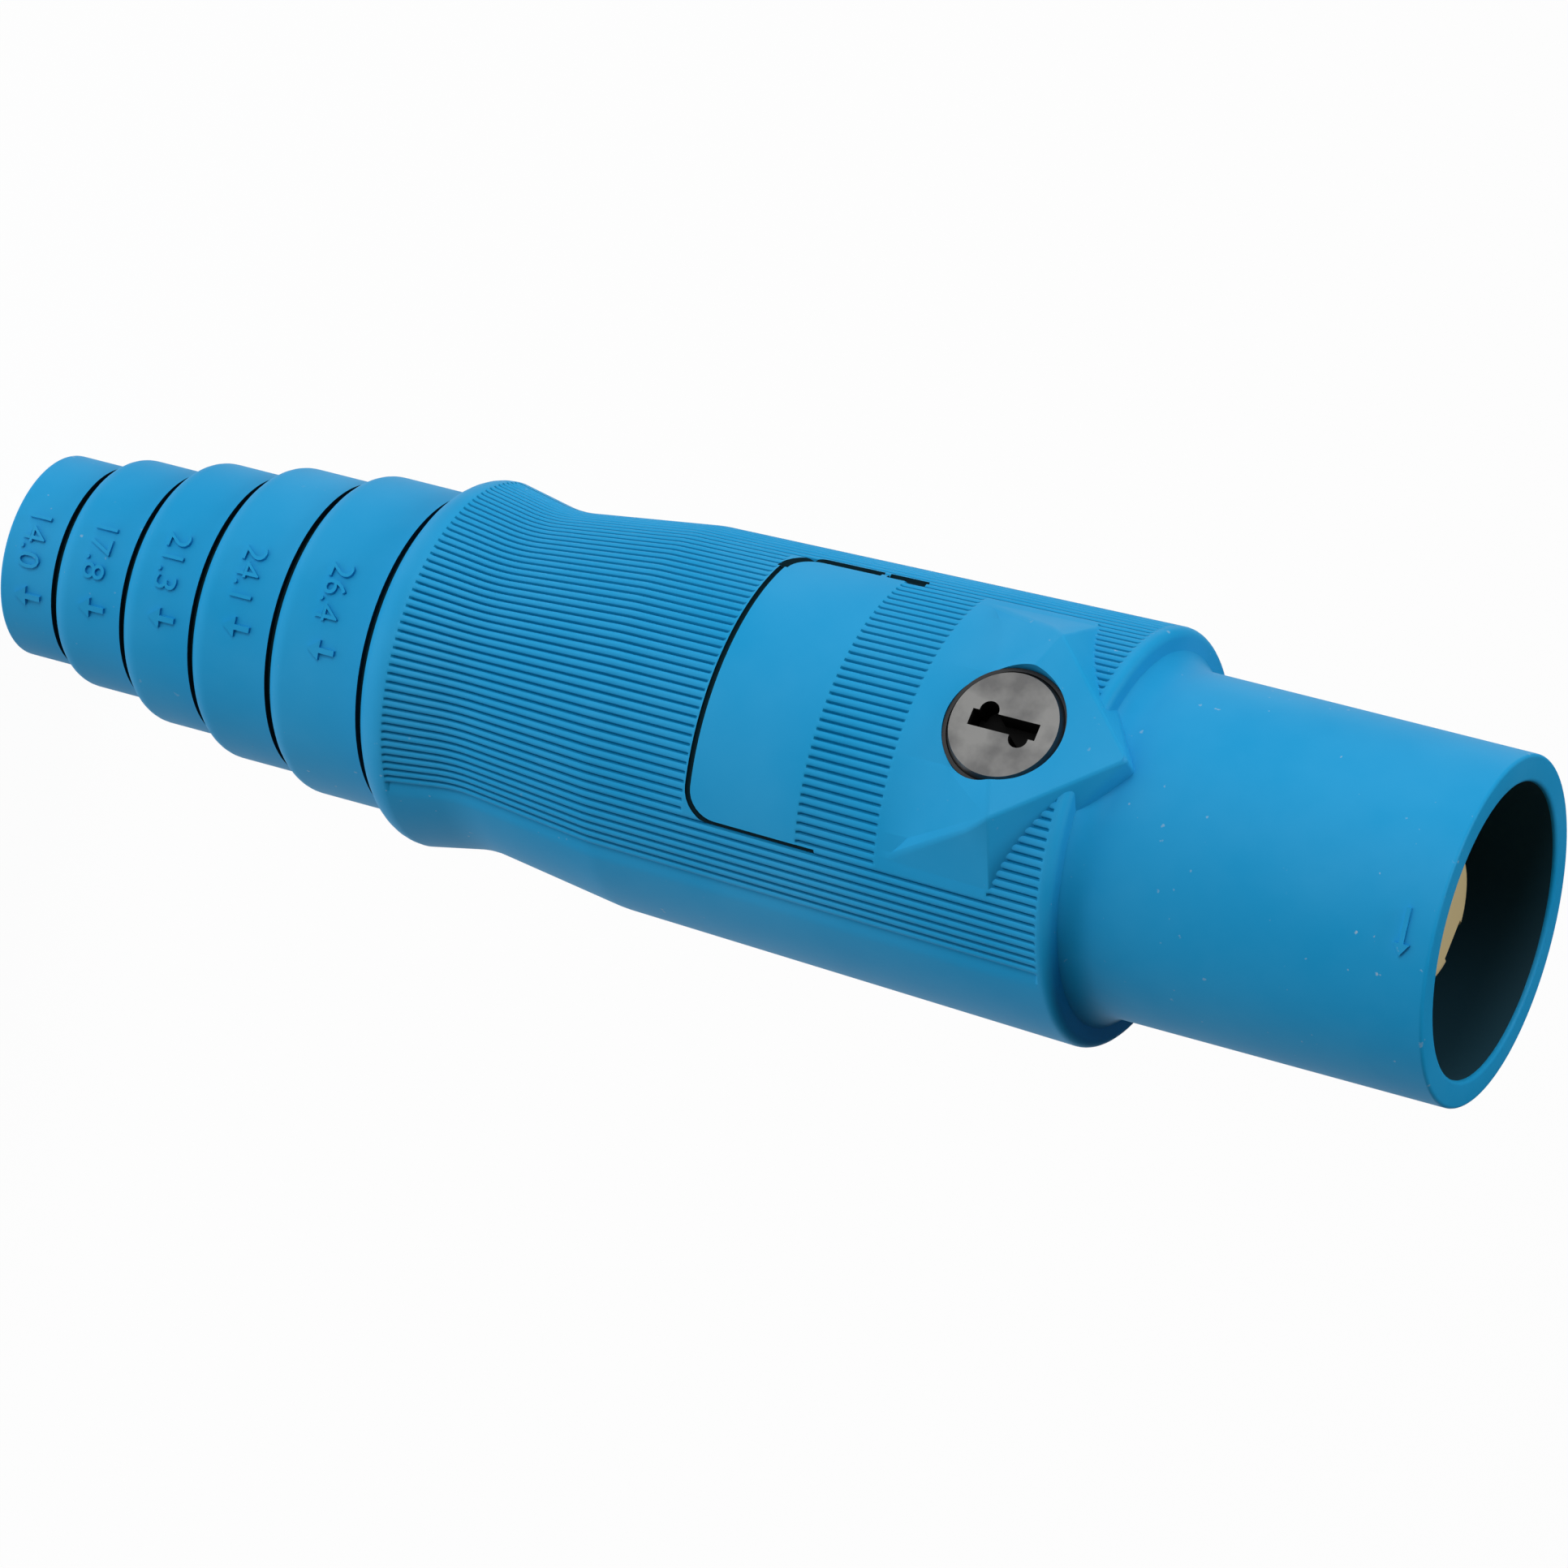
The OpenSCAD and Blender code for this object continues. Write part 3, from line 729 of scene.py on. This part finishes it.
def tubeAlong(name, path, radius, sides=10):
    # Closed tube along a path of points in metres
    bm = bmesh.new()
    rings = []
    for i, point in enumerate(path):
        ahead = path[min(i + 1, len(path) - 1)] - path[max(i - 1, 0)]
        ahead.normalize()
        out = Vector((point.x, point.y, 0)).normalized()
        side = ahead.cross(out).normalized()
        out = side.cross(ahead)
        ring = []
        for k in range(sides):
            turn = 2 * math.pi * k / sides
            away = side * math.cos(turn) + out * math.sin(turn)
            ring.append(bm.verts.new(point + away * radius * mm))
        rings.append(ring)
    for a, b in zip(rings, rings[1:]):
        for k in range(sides):
            bm.faces.new((a[k], a[(k + 1) % sides], b[(k + 1) % sides], b[k]))
    bm.faces.new(rings[0][::-1])
    bm.faces.new(rings[-1])
    # The cutter's faces carry painted shade into the groove it leaves
    for face in bm.faces:
        face.material_index = tags["groovePaintedShade"]
    bmesh.ops.recalc_face_normals(bm, faces=bm.faces)
    return newPiece(name, bm)


def panelPaths():
    # The outline runs round three sides, with a small break in one of them
    body = bodyOutline()
    frontZ = sleeve["length"] - panel["fromMouth"]
    rearZ = frontZ - panel["length"]
    middleR = radiusAt(body, (frontZ + rearZ) / 2)
    halfWidth = middleR * math.radians(panel["halfDeg"])
    corner, steps = panel["corner"], panel["steps"]
    sideStep = (panel["length"] - corner) / steps
    inner = halfWidth - corner
    flat = [(halfWidth, frontZ - i * sideStep) for i in range(steps)]
    flat += arcPoints((inner, rearZ + corner), corner, 0, -90, steps)
    bend = len(flat)  # points down the upper side and round its corner
    flat += [(inner - 2 * inner * i / panel["rearSteps"], rearZ) for i in range(1, panel["rearSteps"])]
    flat += arcPoints((-inner, rearZ + corner), corner, -90, -180, steps)
    flat += [(-halfWidth, rearZ + corner + i * sideStep) for i in range(1, steps + 1)]
    breakHigh = frontZ - panel["breakAt"]
    breakLow = breakHigh - panel["breakLength"]

    def lift(y, z):
        return spot(radiusAt(body, z) - panel["sink"], math.degrees(y / middleR), z)

    first = [lift(halfWidth, z) for z in (frontZ, (frontZ + breakHigh) / 2, breakHigh)]
    upper = [lift(halfWidth, breakLow)]
    upper += [lift(y, z) for y, z in flat[:bend] if z < breakLow - 0.2 * sideStep]
    rest = [lift(y, z) for y, z in flat[bend - 1 :]]
    return (first, panel["upperR"]), (upper, panel["upperR"]), (rest, panel["grooveR"])


def combine(target, other, kind):
    step = target.modifiers.new("cut", "BOOLEAN")
    step.operation = kind
    step.solver = "EXACT"
    step.object = other
    step.material_mode = "TRANSFER" if kind == "DIFFERENCE" else "INDEX"
    bpy.context.view_layer.update()
    settle(target)
    bpy.data.objects.remove(other)


def smoothByAngle(made, degrees):
    bm = bmesh.new()
    bm.from_mesh(made.data)
    limit = math.radians(degrees)
    for edge in bm.edges:
        edge.smooth = len(edge.link_faces) == 2 and edge.calc_face_angle(0) < limit
    for face in bm.faces:
        face.smooth = True
    bm.to_mesh(made.data)
    bm.free()


def buildSleeve(made):
    skin = buildSkin()
    for name in sleeveFinishes:
        skin.data.materials.append(made[name])
    print("sleeve skin:", len(skin.data.polygons), "faces")
    pad = buildPad()
    pad.data.materials.append(made["blueElastomer"])
    combine(skin, pad, "UNION")
    for cutter in buildLockBore():
        for name in sleeveFinishes:
            cutter.data.materials.append(made[name])
        combine(skin, cutter, "DIFFERENCE")
    for path, radius in panelPaths():
        groove = tubeAlong("panelGroove", path, radius)
        for name in sleeveFinishes:
            groove.data.materials.append(made[name])
        combine(skin, groove, "DIFFERENCE")
    smoothByAngle(skin, sleeve["smoothDeg"])
    skin.name = "insulator_sleeve_moulded"
    skin.data.name = skin.name
    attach(skin, "plug")
    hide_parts("insulator_sleeve")
    print("sleeve moulded:", len(skin.data.polygons), "faces")


marks = {
    "height": 3.0,
    "fontSize": 4.05,  # gives numbers of that height
    "rise": 0.4,
    "sink": 0.25,
    "angle": 3.0,  # where a size mark begins, from the lock's side
    "arrowGap": 3.2,
    "arrow": (3.4, 1.1, 0.6),  # length, half the head's width, shaft width
    "headShare": 1.4,  # length of an arrow's head by half its width
    "sizes": ("14.0", "17.8", "21.3", "24.1", "26.4"),  # cable that fits each step, in millimetres
    "turnArrowAt": 3.2,
    "turnArrowDeg": -27.0,
    "turnArrow": (5.0, 0.9, 0.5),
}


def wrapMark(name, flat, radius, angle, z, finish):
    # Lays a flat mesh on the round: x runs round the plug, y along it, z outward
    bm = bmesh.new()
    bm.from_mesh(flat)
    for v in bm.verts:
        turn = angle - math.degrees(v.co.x / radius)
        v.co = spot(radius + v.co.z, turn, z + v.co.y)
    made = newPiece(name, bm)
    made.data.materials.clear()
    made.data.materials.append(finish)
    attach(made, "plug")


def textMesh(words):
    data = bpy.data.curves.new("markText", "FONT")
    data.body = words
    data.size = marks["fontSize"]
    data.extrude = (marks["rise"] + marks["sink"]) / 2
    data.resolution_u = 3
    made = bpy.data.objects.new("markText", data)
    bpy.context.scene.collection.objects.link(made)
    bpy.context.view_layer.update()
    flat = bpy.data.meshes.new_from_object(made.evaluated_get(bpy.context.evaluated_depsgraph_get()))
    bpy.data.objects.remove(made)
    lift = (marks["rise"] - marks["sink"]) / 2
    for v in flat.vertices:
        v.co.z += lift
    return flat


def prism(points):
    # Flat outline of points raised to the marks' height
    bm = bmesh.new()
    low = [bm.verts.new((x, y, -marks["sink"])) for x, y in points]
    high = [bm.verts.new((x, y, marks["rise"])) for x, y in points]
    n = len(points)
    bm.faces.new(low[::-1])
    bm.faces.new(high)
    for i in range(n):
        bm.faces.new((low[i], low[(i + 1) % n], high[(i + 1) % n], high[i]))
    data = bpy.data.meshes.new("markShape")
    bm.to_mesh(data)
    bm.free()
    return data


def arrowPoints(length, head, width):
    # Arrow along -y with its tip at the origin
    half, neck = width / 2, head * marks["headShare"]
    right = [(head, neck), (half, neck), (half, length)]
    return [(0, 0)] + right + [(-x, y) for x, y in right[::-1]]


def buildMarks(made):
    finish = made["blueElastomer"]
    for i, words in enumerate(marks["sizes"]):
        radius = sleeve["stepRs"][i]
        rise = radius - sleeve["stepRs"][i - 1] if i else sleeve["tailRound"]
        low = at["steps"][i] + rise
        middle = (low + at["steps"][i + 1] - sleeve["cutWidth"]) / 2
        foot = middle - marks["height"] / 2
        flat = textMesh(words)
        width = max(v.co.x for v in flat.vertices)
        wrapMark(f"size_mark_{i + 1}", flat, radius, marks["angle"], foot, finish)
        beyond = marks["angle"] - math.degrees((width + marks["arrowGap"]) / radius)
        arrow = prism(arrowPoints(*marks["arrow"]))
        wrapMark(f"size_arrow_{i + 1}", arrow, radius, beyond, foot, finish)
    middle = marks["turnArrow"][0] / 2
    turn = prism([(middle - y, x) for x, y in arrowPoints(*marks["turnArrow"])])
    z = sleeve["length"] - marks["turnArrowAt"]
    wrapMark("turn_arrow", turn, sleeve["barrelR"], marks["turnArrowDeg"], z, finish)
    print("marks laid on")


cadFinishes = {
    "male_contact": ("pinBrass", "contact_brass"),
    "set_screws": ("screwBlack", "screw_steel"),
    "lock_cylinder": ("lockSteel", "lock_steel"),
    "lock_bushing": ("bushingBlack", "bushing_plastic"),
    "spring_washer": ("springSteel", "spring_steel"),
    "seal_ring": ("sealBlack", "seal_rubber"),
    "retaining_clip": ("springSteel", "spring_steel"),
}


keySlot = {
    "reach": 4.4,  # distance from the lock's axis that takes in the slot and its notches
    "faceH": 23.1,
    "depth": 3.0,
    "margin": 0.1,  # slack about the floor's height
}


def paintSlotShade(piece, finish):
    # The walls and floor of the key slot get their own finish, a painted shade
    piece.data.materials.append(finish)
    lowH = keySlot["faceH"] - keySlot["depth"] - keySlot["margin"]
    highH = keySlot["faceH"] - keySlot["margin"] / 2
    for face in piece.data.polygons:
        place = piece.matrix_world @ face.center / mm
        away = math.hypot(place.x, place.z - at["lock"])
        if away < keySlot["reach"] and lowH < -place.y < highH:
            face.material_index = 1


def dressFrame(made):
    for node, (finish, slotName) in cadFinishes.items():
        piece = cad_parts[node]
        piece.data.materials.clear()
        piece.data.materials.append(made[finish])
    # The key slot's walls and floor get painted shade
    paintSlotShade(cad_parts["lock_cylinder"], made["slotPaintedShade"])
    print("inner pieces dressed")


setCamera()
setStudio()
materials = makeFinishes()
print("studio and finishes ready")
dressFrame(materials)
buildSleeve(materials)
buildMarks(materials)
